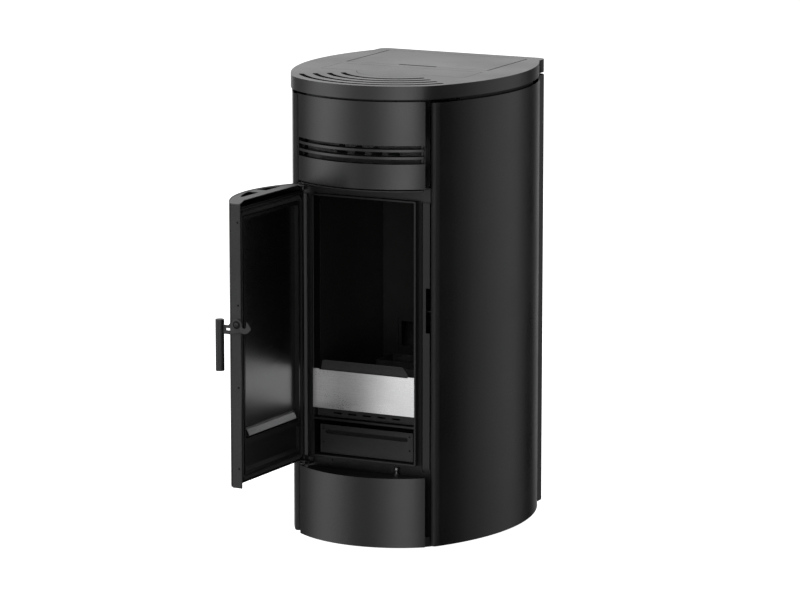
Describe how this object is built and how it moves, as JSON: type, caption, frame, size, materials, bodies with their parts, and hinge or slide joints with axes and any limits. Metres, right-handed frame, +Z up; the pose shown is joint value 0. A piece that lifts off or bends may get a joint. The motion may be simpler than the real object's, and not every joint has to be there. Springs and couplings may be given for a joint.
{
  "type": "wood-pellet stove",
  "caption": "Free-standing D-plan wood-pellet stove with a bowed front, open left-hung fire door, louvred head and pellet hopper under a hinged lid.",
  "frame": {"origin": "on the floor, under the centre of the body's plan (mid width, 40 mm behind the centre of the front bow)", "axes": "+Z up, -Y towards the front and its fire door, +X to the stove's right as seen from the front"},
  "size_m": [0.5084, 0.8784, 1.0267],
  "materials": {
    "black_paint": "satin powder coat, near black",
    "cover_paint": "fine-textured satin black powder coat",
    "dark_steel": "matt black heat-resistant paint",
    "textured_grey": "coarse textured dark grey powder coat",
    "stainless": "brushed stainless",
    "zinc_steel": "zinc-coated sheet, matt",
    "vermiculite": "dark moulded refractory liner",
    "cast_pot": "cast grey, matt",
    "dark_glass": "dark ceramic glass",
    "rope": "woven fibreglass rope",
    "motor_black": "satin black motor housing",
    "moulded_black": "matt black moulding",
    "board_green": "printed board, solder mask",
    "red_plastic": "dark red moulding",
    "fan_alu": "cast, matt"
  },
  "bodies": {
    "stove": {"chassis": "dark_steel", "frame_posts": "dark_steel", "cover_ring": "dark_steel", "levelling_feet": "zinc_steel", "left_side_panel": "black_paint", "right_side_panel": "black_paint", "upper_front_panel": "black_paint", "louvre_fins": "black_paint", "lower_front_panel": "black_paint", "rear_panel": "dark_steel", "top_cover": "cover_paint", "top_insert": "cover_paint", "hopper": "zinc_steel", "auger_tube": "dark_steel", "auger_motor": "motor_black", "front_plate": "dark_steel", "vent_plate": "dark_steel", "door_rim": "black_paint", "hinge_column": "black_paint", "strike_column": "black_paint", "strike_bracket": "zinc_steel", "hinge_brackets": "textured_grey", "door_stud": "stainless", "firebox_shell": "dark_steel", "rear_liner": "vermiculite", "side_liners": "vermiculite", "hearth_floor": "textured_grey", "heat_exchanger": "zinc_steel", "pot_holder": "cast_pot", "igniter": "stainless", "exhaust_housing": "zinc_steel", "exhaust_motor": "motor_black", "flue_pipe": "dark_steel", "blower_housing": "zinc_steel", "air_inlet_pipe": "dark_steel", "control_board": "board_green", "power_inlet": "moulded_black"},
    "door": {"door_skin": "black_paint", "door_frame": "textured_grey", "door_glass": "dark_glass", "glass_clips": "stainless", "air_deflector": "stainless", "door_gasket": "rope", "door_screws": "stainless"},
    "latch": {"latch_lever": "textured_grey", "latch_handle": "textured_grey"},
    "tank_lid": {"tank_lid": "cover_paint", "lid_pivot_pins": "stainless"},
    "ash_pan": {"ash_pan": "textured_grey", "ash_pan_front": "stainless"},
    "ash_drawer": {"ash_drawer": "zinc_steel", "drawer_front": "textured_grey", "drawer_screws": "stainless"},
    "burn_pot": {"burn_pot": "cast_pot", "pot_grate": "cast_pot"},
    "auger_screw": {"auger_screw": "zinc_steel"},
    "exhaust_impeller": {"exhaust_impeller": "fan_alu"},
    "blower_impeller": {"blower_impeller": "moulded_black"},
    "power_switch": {"power_switch": "red_plastic"},
    "reset_button": {"reset_button": "red_plastic"}
  },
  "joints": [
    {"name": "door_hinge", "type": "hinge", "parent": "stove", "child": "door", "pos_m": [-0.143, -0.228, 0.48], "axis": [0, 0, -1], "range_deg": [-93, 12]},
    {"name": "latch_pivot", "type": "hinge", "parent": "door", "child": "latch", "pos_m": [-0.14761, -0.52617, 0.5315], "axis": [0.0523, 0.9986, 0], "range_deg": [0, 40]},
    {"name": "lid_hinge", "type": "hinge", "parent": "stove", "child": "tank_lid", "pos_m": [0, 0.248, 1.0242], "axis": [-1, 0, 0], "range_deg": [0, 85]},
    {"name": "ash_pan_slide", "type": "slide", "parent": "stove", "child": "ash_pan", "axis": [0, -1, 0], "range_m": [0, 0.2]},
    {"name": "ash_drawer_slide", "type": "slide", "parent": "stove", "child": "ash_drawer", "axis": [0, -1, 0], "range_m": [0, 0.17]},
    {"name": "burn_pot_lift", "type": "slide", "parent": "stove", "child": "burn_pot", "axis": [0, 0, 1], "range_m": [0, 0.12]},
    {"name": "auger_turn", "type": "hinge", "parent": "stove", "child": "auger_screw", "pos_m": [0, 0.15, 0.575], "axis": [0, -0.7071, 0.7071], "continuous": true},
    {"name": "exhaust_fan_turn", "type": "hinge", "parent": "stove", "child": "exhaust_impeller", "pos_m": [0.045, 0.087, 0.22], "axis": [0, 1, 0], "continuous": true},
    {"name": "blower_turn", "type": "hinge", "parent": "stove", "child": "blower_impeller", "pos_m": [0, 0.1685, 0.095], "axis": [1, 0, 0], "continuous": true},
    {"name": "switch_rock", "type": "hinge", "parent": "stove", "child": "power_switch", "pos_m": [-0.16, 0.281, 0.09], "axis": [1, 0, 0], "range_deg": [0, 14]},
    {"name": "reset_press", "type": "slide", "parent": "stove", "child": "reset_button", "axis": [0, -1, 0], "range_m": [0, 0.003], "stiffness_N_per_m": 300, "springref_m": -0.001}
  ]
}
